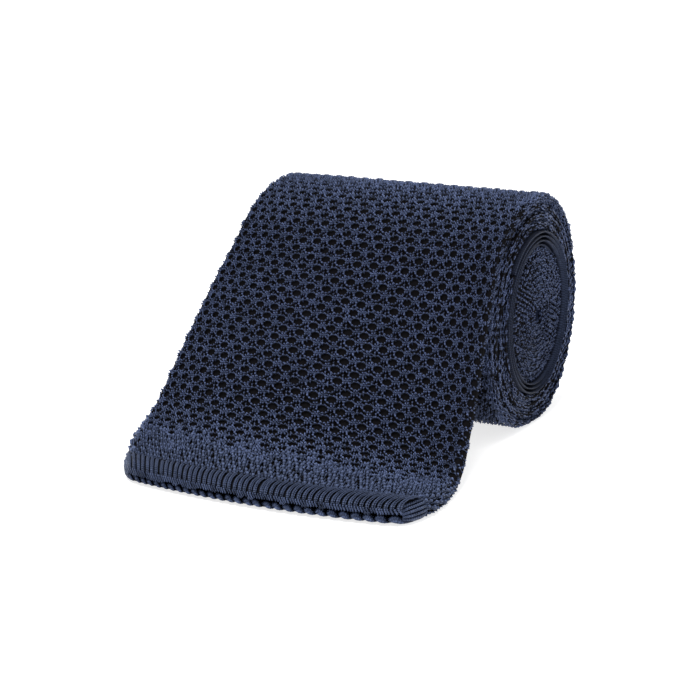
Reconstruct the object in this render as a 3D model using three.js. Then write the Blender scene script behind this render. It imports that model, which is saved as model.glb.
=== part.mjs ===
import * as THREE from 'three';

// A knitted necktie, rolled up from its tail and lying on its side. The tie is one flat knitted
// tube. Its broad blade comes off the top of the roll, falls down the front and lies on the table,
// where it ends in a square ribbed hem. Inside the roll the blade runs into the thin neck band,
// and that into the tail, which is wound into the core.
// X runs across the tie, -Y from the roll towards the hem, +Z up. Millimetres.

// The roll, wound in facets that are the same in every turn
const STEPS_PER_TURN = 24;
const STEP = (2 * Math.PI) / STEPS_PER_TURN;
const LEAVE_ANGLE = 3.5 * STEP; // the blade leaves the roll this far in front of its top
const LEAVE_RADIUS = 24.3;
const WRAP_GAP = 0.36;
const CORE_RADIUS = 2.3;
const PRESSED_FLAT = 0.3; // how much the roll's underside is pressed flat by its weight

// The fall: the blade between the roll and the front edge of its hem, along its outer face
const RAMP_LENGTH = 35.8; // nearly straight, growing a little flatter
const RAMP_END_SLOPE = THREE.MathUtils.degToRad(44.2);
const BEND_LENGTH = 13.6; // the bend from the ramp to the table
const BEND_END_SLOPE = THREE.MathUtils.degToRad(7.5);
const TOE_LENGTH = 16.2; // what lies on the table
const FALL_LENGTH = RAMP_LENGTH + BEND_LENGTH + TOE_LENGTH;
const FALL_TURN = THREE.MathUtils.degToRad(-0.9); // the front edge is turned, right end forward
const FALL_TWIST = 3.0; // halfway down, the right fold hangs this much lower than the middle
const CROWN_LEAN = 0.4; // the bulge's top lies left of the middle
const FRONT_BOW = 2.4; // the middle of the front edge lies this far in front of its ends
const SLOPE_STEP = 0.25; // the path is added up in steps of this length

// The hem
const HEM_DEPTH = 6.2; // how far back from the front edge its ribs reach
const HEM_RIBS = 52;
const LIP_PLEATS = 12;
const RIB_RELIEF = 0.28;
const SEAM_GAP = 0.3;
const END_ROUNDING = 4.0; // the hem's ends are rounded over this length
const CORNER_ROUNDING = 2.0; // and drawn back this far
const BLADE_END = FALL_LENGTH - HEM_DEPTH - SEAM_GAP; // where the blade stops and its hem begins

const NAVY = 0x2c3140;
const NAVY_SMOOTH = 0x31374a;

// The wound tie after so many turns: how thick the flat tube is, and where its side folds lie.
const WOUND = [
  { turn: 0, thick: 1.5, left: -28.4, right: 28.4 },
  { turn: 0.125, thick: 1.5, left: -27.3, right: 29.4 },
  { turn: 0.35, thick: 1.5, left: -27.6, right: 28.6 },
  { turn: 0.6, thick: 1.5, left: -28.0, right: 29.0 },
  { turn: 1, thick: 1.45, left: -28.2, right: 28.4 },
  { turn: 2, thick: 1.45, left: -27.6, right: 28.9 },
  { turn: 3, thick: 1.45, left: -28.0, right: 29.0 },
  { turn: 3.5, thick: 1.4, left: -26.8, right: 29.2 },
  { turn: 4, thick: 0.6, left: -21.0, right: 29.6 },
  { turn: 4.25, thick: 0.5, left: -20.0, right: 29.8 },
  { turn: 7, thick: 0.5, left: -20.0, right: 29.7 },
  { turn: 7.25, thick: 0.6, left: -21.5, right: 28.2 },
  { turn: 7.75, thick: 1.0, left: -24.5, right: 27.9 },
  { turn: 8.6, thick: 1.0, left: -24.5, right: 28.8 },
  { turn: 12, thick: 0.95, left: -24.5, right: 29.4 },
  { turn: 20, thick: 0.95, left: -24.5, right: 29.8 },
];
const NECK_START = 4;
const TAIL_START = 7.25;

// The fall at so many millimetres from the roll: its thickness, how far its middle bulges out,
// and where its side folds lie.
const FALL = [
  { at: 0, thick: 1.5, crown: 0.0, left: -28.4, right: 28.4 },
  { at: 12, thick: 1.9, crown: 0.4, left: -29.7, right: 29.5 },
  { at: 25, thick: 2.25, crown: 0.7, left: -30.5, right: 31.3 },
  { at: 35, thick: 2.6, crown: 0.8, left: -31.2, right: 32.5 },
  { at: 42, thick: 2.9, crown: 0.8, left: -31.5, right: 33.7 },
  { at: 50, thick: 3.8, crown: 0.5, left: -30.7, right: 34.9 },
  { at: 55, thick: 4.5, crown: 0.4, left: -29.6, right: 35.4 },
  { at: 59.1, thick: 4.6, crown: 0.3, left: -27.9, right: 35.0 },
  { at: 65.6, thick: 4.6, crown: 0.3, left: -23.5, right: 32.8 },
];
const FALL_STATIONS = [5, 10, 15, 20, 25, 30, 35.5, 38.5, 41, 43.5, 46, 48, 50, 52.5, 55.5];

// Half sections of the flat tube: u across from fold to fold, v from the middle to a face.
const BLADE_SECTION = [
  { u: -0.975, v: 0.72 },
  { u: -0.9, v: 1 },
  { u: -0.5, v: 1 },
  { u: 0, v: 1 },
  { u: 0.5, v: 1 },
  { u: 0.9, v: 1 },
  { u: 0.975, v: 0.72 },
];
const INNER_SECTION = [
  { u: -0.95, v: 1 },
  { u: 0.95, v: 1 },
];

// The hem's welt, from the back of its top round its front to the back of its underside.
// back is the distance behind the front edge, up the height above the table, and inward and down
// say how much of the rib's relief shows in each direction.
const WELT_SECTION = [
  { back: 6.2, up: 4.2, inward: 0, down: 1 },
  { back: 4.3, up: 4.55, inward: 0, down: 1 },
  { back: 2.3, up: 4.6, inward: 0, down: 1 },
  { back: 0.9, up: 4.1, inward: 0.7, down: 0.7 },
  { back: 0.15, up: 3.3, inward: 1, down: 0 },
  { back: 0.0, up: 2.5, inward: 1, down: 0 },
  { back: 0.5, up: 1.75, inward: 1, down: 0 },
  { back: 1.3, up: 1.5, inward: 0.5, down: 0 },
  { back: 6.2, up: 1.5, inward: 0, down: 0 },
];
// The lip of the back layer below it, which lies on the table.
const LIP_SECTION = [
  { back: 6.2, up: 1.2, inward: 0, down: 0 },
  { back: 0.9, up: 1.2, inward: 1, down: 0 },
  { back: 0.3, up: 0.8, inward: 1, down: 0 },
  { back: 0.35, up: 0.35, inward: 1, down: 0 },
  { back: 0.9, up: 0, inward: 1, down: 0 },
  { back: 6.2, up: 0, inward: 0, down: 0 },
];

// The value of one column of a table, straight between its rows.
function column(table, key, at, name) {
  if (at <= table[0][key]) return table[0][name];
  for (let i = 1; i < table.length; i += 1) {
    const before = table[i - 1];
    const after = table[i];
    if (at <= after[key]) {
      const share = (at - before[key]) / (after[key] - before[key]);
      return THREE.MathUtils.lerp(before[name], after[name], share);
    }
  }
  return table[table.length - 1][name];
}

function woundAt(turn, name) {
  return column(WOUND, 'turn', turn, name);
}

function fallAt(at, name) {
  return column(FALL, 'at', at, name);
}

// The outer radius at each step of the spiral. Each turn lies inside the one before it.
function spiralRadii() {
  const radii = [];
  while (radii.length < STEPS_PER_TURN || radii[radii.length - 1] > CORE_RADIUS) {
    const step = radii.length;
    if (step < STEPS_PER_TURN) {
      const pitch = woundAt(0, 'thick') + WRAP_GAP;
      radii.push(LEAVE_RADIUS - (pitch * step) / STEPS_PER_TURN);
    } else {
      const outside = step - STEPS_PER_TURN;
      const thick = woundAt(outside / STEPS_PER_TURN, 'thick');
      radii.push(radii[outside] - thick - WRAP_GAP);
    }
  }
  return radii;
}

const RADII = spiralRadii();
const BOTTOM_STEP = Math.round((Math.PI + LEAVE_ANGLE) / STEP - 0.5);
const AXIS_HEIGHT = RADII[BOTTOM_STEP] * Math.cos(STEP / 2) - PRESSED_FLAT;

// A station of the wound tie. step may lie between two steps of the spiral.
function woundStation(step) {
  const low = Math.floor(step);
  const high = Math.min(low + 1, RADII.length - 1);
  const radius = THREE.MathUtils.lerp(RADII[low], RADII[high], step - low);
  const angle = step * STEP - LEAVE_ANGLE;
  const turn = step / STEPS_PER_TURN;
  const normal = new THREE.Vector2(Math.sin(angle), Math.cos(angle));
  const left = woundAt(turn, 'left');
  const right = woundAt(turn, 'right');
  return {
    outer: new THREE.Vector2(0, AXIS_HEIGHT).addScaledVector(normal, radius),
    normal,
    middle: (left + right) / 2,
    half: (right - left) / 2,
    thick: woundAt(turn, 'thick'),
    crown: 0,
    turned: 0,
    twist: 0,
    bow: 0,
  };
}

function woundStations(fromTurn, toTurn) {
  const first = fromTurn * STEPS_PER_TURN;
  const last = Math.min(toTurn * STEPS_PER_TURN, RADII.length - 1);
  const stations = [];
  for (let step = first; step <= last; step += 1) stations.push(woundStation(step));
  return stations;
}

// The slope of the fall below the horizontal, along its length.
function fallSlope(at) {
  if (at < RAMP_LENGTH) {
    return THREE.MathUtils.lerp(LEAVE_ANGLE, RAMP_END_SLOPE, at / RAMP_LENGTH);
  }
  if (at < RAMP_LENGTH + BEND_LENGTH) {
    const share = (1 - Math.cos((Math.PI * (at - RAMP_LENGTH)) / BEND_LENGTH)) / 2;
    return THREE.MathUtils.lerp(RAMP_END_SLOPE, BEND_END_SLOPE, share);
  }
  return (BEND_END_SLOPE * (FALL_LENGTH - at)) / TOE_LENGTH;
}

// The place of the fall's outer face in the (Y, Z) plane.
function fallPoint(at) {
  const point = woundStation(0).outer.clone();
  const steps = Math.max(1, Math.round(at / SLOPE_STEP));
  const length = at / steps;
  for (let i = 0; i < steps; i += 1) {
    const slope = fallSlope((i + 0.5) * length);
    point.x -= length * Math.cos(slope);
    point.y -= length * Math.sin(slope);
  }
  return point;
}

// How far the middle of the blade lies in front of its folds. It grows over the toe.
function fallBow(at) {
  const bendEnd = RAMP_LENGTH + BEND_LENGTH;
  return FRONT_BOW * THREE.MathUtils.smoothstep(at, bendEnd - BEND_LENGTH / 2, BLADE_END);
}

function fallStation(at) {
  const slope = fallSlope(at);
  const down = Math.min(1, at / BLADE_END);
  const left = fallAt(at, 'left');
  const right = fallAt(at, 'right');
  return {
    outer: fallPoint(at),
    normal: new THREE.Vector2(-Math.sin(slope), Math.cos(slope)),
    middle: (left + right) / 2,
    half: (right - left) / 2,
    thick: fallAt(at, 'thick'),
    crown: fallAt(at, 'crown'),
    turned: Math.sin(FALL_TURN * down * down),
    twist: FALL_TWIST * Math.sin(Math.PI * down),
    bow: fallBow(at),
  };
}

// One point of the flat tube's section at a station, no lower than the table.
function tubePoint(station, u, v) {
  const bulge = station.crown * (1 - u * u) * (1 - CROWN_LEAN * u);
  const rise = bulge - (station.thick * (1 - v)) / 2;
  const place = station.outer.clone().addScaledVector(station.normal, rise);
  const x = station.middle + u * station.half;
  const y = place.x + u * station.half * station.turned - station.bow * (1 - u * u);
  return new THREE.Vector3(x, y, Math.max(place.y - u * station.twist, 0));
}

// The section as a ring of points: left fold, upper face, right fold, lower face.
function tubeRing(station, section) {
  const upper = section.map(({ u, v }) => tubePoint(station, u, v));
  const lower = section.map(({ u, v }) => tubePoint(station, u, -v));
  const leftFold = tubePoint(station, -1, 0);
  const rightFold = tubePoint(station, 1, 0);
  return [leftFold, ...upper, rightFold, ...lower.reverse()];
}

// The skin between rings that all have the same number of points.
function skinTriangles(ringCount, size) {
  const triangles = [];
  for (let ring = 0; ring + 1 < ringCount; ring += 1) {
    for (let i = 0; i < size; i += 1) {
      const next = (i + 1) % size;
      const a = ring * size + i;
      const b = ring * size + next;
      triangles.push(a, b, b + size, a, b + size, a + size);
    }
  }
  return triangles;
}

// A flat cap of narrow strips between the two long sides of a ring.
function capTriangles(first, size, facesBack) {
  const triangles = [];
  const add = (a, b, c) => {
    if (facesBack) triangles.push(first + a, first + c, first + b);
    else triangles.push(first + a, first + b, first + c);
  };
  const half = Math.floor(size / 2);
  add(0, 1, size - 1);
  for (let i = 1; i < half; i += 1) {
    const across = size - i;
    add(i, i + 1, across);
    if (across - 1 > i + 1) add(i + 1, across - 1, across);
  }
  return triangles;
}

// A closed body through rings of points.
function loft(rings) {
  const size = rings[0].length;
  const triangles = [
    ...skinTriangles(rings.length, size),
    ...capTriangles(0, size, true),
    ...capTriangles((rings.length - 1) * size, size, false),
  ];
  const geometry = new THREE.BufferGeometry().setFromPoints(rings.flat());
  geometry.setIndex(triangles);
  geometry.computeVertexNormals();
  return geometry;
}

function cloth(name, colour, roughness, geometry) {
  const material = new THREE.MeshStandardMaterial({ color: colour, roughness, metalness: 0 });
  const mesh = new THREE.Mesh(geometry, material);
  mesh.name = name;
  return mesh;
}

// The broad blade: the fall from its hem up to the roll, then its turns round the roll.
function frontBlade() {
  const fall = [...FALL_STATIONS, BLADE_END].reverse().map(fallStation);
  const stations = [...fall, ...woundStations(0, NECK_START)];
  return loft(stations.map((station) => tubeRing(station, BLADE_SECTION)));
}

// A part of the tie that lies wholly inside the roll. It starts a small gap after the part before.
function innerPart(fromTurn, toTurn) {
  const start = fromTurn * STEPS_PER_TURN;
  const gapSteps = SEAM_GAP / (RADII[Math.floor(start)] * STEP);
  const stations = [woundStation(start + gapSteps), ...woundStations(fromTurn, toTurn).slice(1)];
  return loft(stations.map((station) => tubeRing(station, INNER_SECTION)));
}

// A bar along the front edge of the blade, with ribs across it and rounded ends.
function hemBar(section, ribs, relief) {
  const front = fallStation(FALL_LENGTH);
  const rings = [];
  const count = 2 * ribs;
  for (let i = 0; i <= count; i += 1) {
    const across = (i / count) * 2 - 1;
    const fromEnd = (1 - Math.abs(across)) * front.half;
    const corner = 1 - Math.min(1, fromEnd / END_ROUNDING);
    const drawnIn = CORNER_ROUNDING * (1 - Math.sqrt(1 - corner * corner));
    const dip = i % 2 === 0 ? relief : 0;
    rings.push(
      section.map(({ back, up, inward, down }) => {
        const left = fallAt(FALL_LENGTH - back, 'left');
        const right = fallAt(FALL_LENGTH - back, 'right');
        const x = THREE.MathUtils.lerp(left, right, (across + 1) / 2);
        const bowed = front.bow * (1 - across * across);
        const behind = back + (dip + drawnIn) * inward - bowed;
        const y = front.outer.x + across * front.half * front.turned + behind;
        return new THREE.Vector3(x, y, up - dip * down);
      }),
    );
  }
  return loft(rings);
}

const tie = new THREE.Group();
tie.add(cloth('front_blade', NAVY, 0.75, frontBlade()));
tie.add(cloth('hem_welt', NAVY_SMOOTH, 0.6, hemBar(WELT_SECTION, HEM_RIBS, RIB_RELIEF)));
tie.add(cloth('hem_lip', NAVY, 0.7, hemBar(LIP_SECTION, LIP_PLEATS, 0)));
tie.add(cloth('neck_band', NAVY_SMOOTH, 0.6, innerPart(NECK_START, TAIL_START)));
tie.add(cloth('tail_blade', NAVY, 0.75, innerPart(TAIL_START, Infinity)));

// The origin is the middle of the object's base.
const middle = new THREE.Box3().setFromObject(tie).getCenter(new THREE.Vector3());
tie.position.set(-middle.x, -middle.y, 0);

export default tie;
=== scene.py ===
"""A navy knit tie, rolled up on a pale table, its broad openwork blade falling to a ribbed hem.

Every piece of cloth and every length of yarn is laid out flat first, in cloth coordinates: across the
tie, along it, and up from its face. Then it is wrapped onto the roll and the fall. Metres.
"""
import math

import bpy
import numpy as np
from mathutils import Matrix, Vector


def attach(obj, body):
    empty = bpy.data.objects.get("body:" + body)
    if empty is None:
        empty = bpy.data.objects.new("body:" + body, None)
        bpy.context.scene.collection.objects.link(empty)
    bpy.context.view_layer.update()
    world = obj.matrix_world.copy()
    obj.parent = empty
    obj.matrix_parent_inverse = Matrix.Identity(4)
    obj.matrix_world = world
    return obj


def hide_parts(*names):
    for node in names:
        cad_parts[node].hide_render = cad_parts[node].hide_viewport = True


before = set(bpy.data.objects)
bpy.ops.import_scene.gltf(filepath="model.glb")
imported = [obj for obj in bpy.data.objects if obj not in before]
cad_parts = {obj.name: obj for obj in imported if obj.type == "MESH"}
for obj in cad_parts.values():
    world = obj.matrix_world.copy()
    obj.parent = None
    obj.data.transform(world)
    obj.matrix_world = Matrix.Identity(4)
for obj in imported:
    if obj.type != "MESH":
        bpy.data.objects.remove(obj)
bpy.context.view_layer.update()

# The camera, at the photo's viewing angle
CAMERA_AZIMUTH = math.radians(26.25)
CAMERA_HEIGHT = math.radians(14.05)
CAMERA_DISTANCE = 0.4333
CAMERA_TARGET = Vector((-0.00633, 0.00882, 0.01515))
CAMERA_LENS = 111.4  # millimetres, on a sensor 36 mm wide

# The light, and the table so large that it has no edge in any view
ROOM_LIGHT = 0.62
LAMP_PLACE = (-0.1, -0.2, 1.1)
LAMP_SIZE = 0.7
LAMP_POWER = 17
TABLE_SIZE = 40
TABLE_GREY = (0.55, 0.55, 0.55)
TABLE_GLOW = 0.75

# Colours
# the yarn's dark end: painted shade where it dips into the cloth and between its plies, and darker
# random patches
NAVY_DARK = (0.0035, 0.0055, 0.0150)
NAVY_BRIGHT = (0.122, 0.163, 0.325)  # the openwork
NAVY_LIGHT = (0.076, 0.102, 0.195)  # the stitches behind the hem, below its ribs and on its lip
NAVY_SOFT = (0.052, 0.070, 0.134)  # the hem's ribs
NAVY_UNDER = (0.034, 0.047, 0.094)  # the openwork drawn on the underside
# painted shade: the tie's navy back layer and inside, and the inside of the hem, darkened to nearly
# black
SHADE_NEARLY_BLACK = (0.0040, 0.0036, 0.0040)
HEM_SHADE_BLACK = (0.0016, 0.0016, 0.0022)
# the neck's colours: dark for its painted shade, light where it is lit
NECK_DARK = (0.006, 0.007, 0.013)
NECK_LIGHT = (0.048, 0.064, 0.120)

# The roll, as it is wound
ROLL_MIDDLE_X = -0.001947
ROLL_AXIS_Y = 0.025075
STEPS_PER_TURN = 24
STEP = 2 * math.pi / STEPS_PER_TURN
LEAVE_ANGLE = 3.5 * STEP
LEAVE_RADIUS = 0.0243
WRAP_GAP = 0.00036
CORE_RADIUS = 0.0023
PRESSED_FLAT = 0.0003
FINE_STEPS = 4  # places worked out between two steps of the winding

# The fall, from the roll to the front edge of the hem
RAMP_LENGTH = 0.0358
RAMP_END_SLOPE = math.radians(44.2)
BEND_LENGTH = 0.0136
BEND_END_SLOPE = math.radians(7.5)
TOE_LENGTH = 0.0162
FALL_LENGTH = RAMP_LENGTH + BEND_LENGTH + TOE_LENGTH
FALL_TURN = math.radians(-0.9)
FALL_TWIST = 0.0030
CROWN_LEAN = 0.4
FRONT_BOW = 0.0028
HEM_DEPTH = 0.0062
HEM_GAP = 0.0003  # between the blade and the hem
BLADE_END = FALL_LENGTH - HEM_DEPTH - HEM_GAP
FALL_STEP = 0.00025
EDGE_EASE = 0.006  # kinks of the side folds are smoothed over this length

# The wound tie after so many turns: how thick it is, and where its side folds lie
WOUND_COLUMNS = ("turn", "thick", "left", "right")
WOUND = np.array([
    (0, 0.0015, -0.0284, 0.0284),
    (0.125, 0.0015, -0.0273, 0.0294),
    (0.35, 0.0015, -0.0276, 0.0286),
    (0.6, 0.0015, -0.0280, 0.0290),
    (1, 0.00145, -0.0282, 0.0284),
    (2, 0.00145, -0.0276, 0.0289),
    (3, 0.00145, -0.0280, 0.0290),
    (3.5, 0.0014, -0.0268, 0.0292),
    (4, 0.0006, -0.0210, 0.0296),
    (4.25, 0.0005, -0.0200, 0.0298),
    (7, 0.0005, -0.0200, 0.0297),
    (7.25, 0.0006, -0.0215, 0.0289),
    (7.75, 0.0010, -0.0245, 0.0288),
    (8.6, 0.0010, -0.0245, 0.0292),
    (12, 0.00095, -0.0245, 0.0294),
    (20, 0.00095, -0.0245, 0.0298),
])
NECK_START = 4
TAIL_START = 7.25
KNIT_GAP = 0.0004  # between the blade, the neck and the tail

# The fall at so many metres from the roll: its thickness, how far its middle bulges out, and where
# its side folds lie
FALL_COLUMNS = ("at", "thick", "crown", "left", "right")
FALL = np.array([
    (0, 0.0015, 0.0, -0.0284, 0.0284),
    (0.012, 0.0019, 0.0004, -0.0297, 0.0295),
    (0.025, 0.00225, 0.0007, -0.0305, 0.0313),
    (0.035, 0.0026, 0.0008, -0.0312, 0.0325),
    (0.042, 0.0029, 0.0008, -0.0315, 0.0337),
    (0.050, 0.0038, 0.0005, -0.0307, 0.0349),
    (0.055, 0.0045, 0.0004, -0.0296, 0.0354),
    (0.0591, 0.0046, 0.0003, -0.0279, 0.0350),
    (0.0656, 0.0046, 0.0003, -0.0235, 0.0328),
])

# The flat cloth
BLADE_WIDTH = 0.065
HALF_CLOTH = BLADE_WIDTH / 2
FOLD_ARC = 0.0024  # round the side fold, from one face to the other
FOLD_END = HALF_CLOTH + FOLD_ARC
CLOTH_ROUND = 2 * (2 * HALF_CLOTH + FOLD_ARC)  # once round the flat tube
UNDERSIDE_FROM = 2 * FOLD_END / CLOTH_ROUND  # a share of the way from the face's middle to beneath it
NECK_LIT = 0.0012  # light reaches so far from the neck's folds
BASE_SINK = 0.00066  # the ground cloth lies this deep below the tie's face
FOLD_FILL = 0.9  # and so much less deep on the side folds
UNDER_SINK = 0.00012  # on the inner turns and on the underside, where the openwork is drawn
SINK_EASE = 0.004  # from one depth to the other over this length
FOLD_SINK = 0.00015  # the yarn itself lies a little deeper on the side folds
DIPPED = -0.00018  # yarn this low is in the shade of its neighbours
RISEN = 0.00010  # and yarn this high is in full light
PRESSED_FROM = -0.0009  # cloth that would reach this low is pressed onto the table
PRESSED_TO = 0.0009
TABLE_SKIN = 0.00004

# The openwork: holes in staggered rows
HOLE_SPACING = 0.00336
ROW_REPEAT = 0.00421  # two rows
ROW_SHIFT = -0.30  # every second row is shifted by this share of the spacing
OPENWORK_TO = 1.02  # turns of the roll, from where the blade leaves it, as the next two are
ROLL_OPENWORK_TO = 0.26
BACK_OPENWORK_TO = 0.64
NEXT_TURN = 0.0001  # a field starts so much of a turn after the last one ends
FALL_GAP = 0.0005  # the roll's openwork starts so far from the fall's
KNIT_JITTER = (0.00010, 0.00010, 0.00005)
RIM_REACH = (0.335, 0.213)  # in units of the hole spacing and the row repeat, as the knot's middle is
RIM_RADIUS = 0.00018
KNOT_MIDDLE = (0.53, 0.12)
KNOT_REACH = 0.00078
KNOT_RADIUS = 0.00015
MIDDLE_STRETCH = 0.20  # the openwork is stretched in the middle and drawn together at the folds
TIGHT_KNIT = 0.0128  # behind the hem the openwork closes up over this length
LOOSE_KEPT = (0.30, 0.32)  # beyond this share of it, plus a second by chance, the openwork stays
TIGHT_KEPT = (0.62, 0.30)  # and within this share of it, plus a second by chance, tight stitches lie
TIGHT_SPACING = (0.00120, 0.00160)
TIGHT_DRIFT = 0.36  # each row is shifted by this share of the spacing from the last one
TIGHT_JITTER = (0.00014, 0.00018, 0.00011)
TOE_FOLD_SPACING = (0.00042, 0.00150)  # behind the hem the side folds are three times as thick
TOE_FOLD_JITTER = (0.00004, 0.00014, 0.00010)
TOE_FOLD_NARROW = 0.36
EDGE_SPACING = (0.00100, 0.00160)
CORE_SPACING = (0.00080, 0.00104)
FOLD_JITTER = (0.00012, 0.00012, 0.00010)
FOLD_LIFT = -0.00002
PAST_FOLD = 0.0008  # the side folds' stitches reach so far under the tie
HEM_OVERLAP = 0.0012  # the ground cloth reaches so far into the welt

# The openwork as its pattern draws it: a hole's radius and a row's height, in units of the spacing
DRAWN_HOLE = 0.17
DRAWN_ROW = 0.62
DRAWN_SHARPNESS = 12.0

# The neck's fine rows, and its stitches along it
NECK_ROW = 0.00052
NECK_STITCHES = 560.0

# Fineness of the fibres and of the light and dark patches, per metre
FIBRES = 6000.0
YARN_PATCHES = 900.0
NECK_PATCHES = 700.0
GROUND_FIBRES = 1400.0

# The hem: its welt and the lip of the back layer, as sections (back from the front edge, up)
HEM_WIDTH = 0.0563
WELT = np.array([
    (0.0062, 0.0042),
    (0.0043, 0.00455),
    (0.0023, 0.0046),
    (0.0009, 0.0041),
    (0.00015, 0.0033),
    (0.0, 0.0025),
    (0.0005, 0.00175),
    (0.0013, 0.0015),
    (0.0062, 0.0015),
])
LIP = np.array([
    (0.0062, 0.0012),
    (0.0009, 0.0012),
    (0.0003, 0.0008),
    (0.00035, 0.00035),
    (0.0009, 0.0),
    (0.0062, 0.0),
])
HEM_RIBS = 52
RIBBED_WIDTH = HEM_WIDTH - 0.0012
RIB_PITCH = RIBBED_WIDTH / HEM_RIBS
RIB_START = 0.0001  # along the welt's section, from the back of its top
RIB_END = 0.0069
LOWEST_ROW = 0.00785  # stitches further round than this have gaps between them
STITCH_RADIUS = 0.00017
LIP_BUMPS = 29
LIP_RADIUS = 0.00018
LIP_SPREAD = 0.22  # the bumps are this much narrower at the left end and wider at the right
LIP_FLATTER = 0.00026  # and so much flatter at the left end
END_ROUNDING = 0.0040
CORNER_ROUNDING = 0.0020
WELT_SINK = 0.0005  # the grounds of the welt and the lip lie this deep below their faces
LIP_SINK = 0.0002
WELT_PULLED_IN = 0.0014  # and end this far inside the hem's ends
LIP_PULLED_IN = 0.0012
HEM_JITTER = 0.00005
STITCH_JITTER = 0.00008


# Numbers and tables

def rng_for(name):
    """A generator of random numbers that is the same in every run."""
    return np.random.default_rng(sum(ord(letter) * (i + 1) for i, letter in enumerate(name)))


def table_column(table, columns, key, at):
    return np.interp(at, table[:, 0], table[:, columns.index(key)])


def wound_at(turn, key):
    return table_column(WOUND, WOUND_COLUMNS, key, turn)


def fall_at(at, key):
    return table_column(FALL, FALL_COLUMNS, key, at)


def wound_radii():
    """The outer radius at each step of the winding."""
    radii = []
    while len(radii) < STEPS_PER_TURN or radii[-1] > CORE_RADIUS:
        step = len(radii)
        if step < STEPS_PER_TURN:
            pitch = wound_at(0, "thick") + WRAP_GAP
            radii.append(LEAVE_RADIUS - pitch * step / STEPS_PER_TURN)
        else:
            outside = step - STEPS_PER_TURN
            thick = wound_at(outside / STEPS_PER_TURN, "thick")
            radii.append(radii[outside] - thick - WRAP_GAP)
    return np.array(radii)


def fall_slope(at):
    ramp = LEAVE_ANGLE + (RAMP_END_SLOPE - LEAVE_ANGLE) * at / RAMP_LENGTH
    share = np.clip((at - RAMP_LENGTH) / BEND_LENGTH, 0, 1)
    bend = RAMP_END_SLOPE + (BEND_END_SLOPE - RAMP_END_SLOPE) * (1 - np.cos(math.pi * share)) / 2
    toe = BEND_END_SLOPE * (FALL_LENGTH - at) / TOE_LENGTH
    return np.where(at < RAMP_LENGTH, ramp, np.where(at < RAMP_LENGTH + BEND_LENGTH, bend, toe))


def fall_bow(at):
    """How far the middle of the blade lies in front of its folds."""
    start = RAMP_LENGTH + BEND_LENGTH / 2
    share = np.clip((at - start) / (BLADE_END - start), 0, 1)
    return FRONT_BOW * share ** 2 * (3 - 2 * share)


def eased(values, length, step):
    """The values with their kinks smoothed over a length. Both ends stay."""
    reach = max(1, round(length / step / 2))
    padded = np.concatenate([
        2 * values[0] - values[reach:0:-1], values, 2 * values[-1] - values[-2:-reach - 2:-1]])
    return np.convolve(padded, np.ones(2 * reach + 1) / (2 * reach + 1), mode="valid")


RADII = wound_radii()
BOTTOM_STEP = round((math.pi + LEAVE_ANGLE) / STEP - 0.5)
AXIS_HEIGHT = RADII[BOTTOM_STEP] * math.cos(STEP / 2) - PRESSED_FLAT


def fall_path():
    """The outer face of the fall, from the hem's front edge up to the roll."""
    steps = round(FALL_LENGTH / FALL_STEP)
    at = np.linspace(0, FALL_LENGTH, steps + 1)
    length = at[1] - at[0]
    slope = fall_slope(at[:-1] + length / 2)
    start_y = ROLL_AXIS_Y - LEAVE_RADIUS * math.sin(LEAVE_ANGLE)
    start_z = AXIS_HEIGHT + LEAVE_RADIUS * math.cos(LEAVE_ANGLE)
    down = np.minimum(1, at / BLADE_END)
    left = eased(fall_at(at, "left"), EDGE_EASE, length)
    right = eased(fall_at(at, "right"), EDGE_EASE, length)
    path = {
        "along": -at,
        "y": start_y - np.concatenate([[0], np.cumsum(length * np.cos(slope))]),
        "z": start_z - np.concatenate([[0], np.cumsum(length * np.sin(slope))]),
        "normal_y": -np.sin(fall_slope(at)),
        "normal_z": np.cos(fall_slope(at)),
        "middle": ROLL_MIDDLE_X + (left + right) / 2,
        "half": (right - left) / 2,
        "thick": fall_at(at, "thick"),
        "crown": fall_at(at, "crown"),
        "turned": np.sin(FALL_TURN * down ** 2),
        "twist": FALL_TWIST * np.sin(math.pi * down),
        "bow": fall_bow(at),
        "turn": np.zeros(len(at)),
    }
    return {key: values[::-1] for key, values in path.items()}


def wound_path():
    """The outer face of the wound tie, from where it leaves the roll in to the core."""
    step = np.arange(0, (len(RADII) - 1) * FINE_STEPS + 1) / FINE_STEPS
    radius = np.interp(step, np.arange(len(RADII)), RADII)
    angle = step * STEP - LEAVE_ANGLE
    turn = step / STEPS_PER_TURN
    left = wound_at(turn, "left")
    right = wound_at(turn, "right")
    lengths = (radius[1:] + radius[:-1]) / 2 * STEP / FINE_STEPS
    nothing = np.zeros(len(step))
    return {
        "along": np.concatenate([[0], np.cumsum(lengths)]),
        "y": ROLL_AXIS_Y + radius * np.sin(angle),
        "z": AXIS_HEIGHT + radius * np.cos(angle),
        "normal_y": np.sin(angle),
        "normal_z": np.cos(angle),
        "middle": ROLL_MIDDLE_X + (left + right) / 2,
        "half": (right - left) / 2,
        "thick": wound_at(turn, "thick"),
        "crown": nothing,
        "turned": nothing,
        "twist": nothing,
        "bow": nothing,
        "turn": turn,
    }


def tie_path():
    fall = fall_path()
    wound = wound_path()
    return {key: np.concatenate([fall[key], wound[key][1:]]) for key in fall}


PATH = tie_path()
PATH_END = PATH["along"][-1]


def path_at(along):
    return {key: np.interp(along, PATH["along"], PATH[key]) for key in PATH}


def along_at_turn(turn):
    """The length of cloth between the fall and this turn of the roll."""
    return float(np.interp(turn, PATH["turn"][PATH["along"] >= 0], PATH["along"][PATH["along"] >= 0]))


def settled(z):
    """Cloth that would reach into the table is pressed flat on it."""
    share = np.clip((z - PRESSED_FROM) / (PRESSED_TO - PRESSED_FROM), 0, 1)
    return np.where(z < PRESSED_TO, TABLE_SKIN + (PRESSED_TO - TABLE_SKIN) * share, z)


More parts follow.
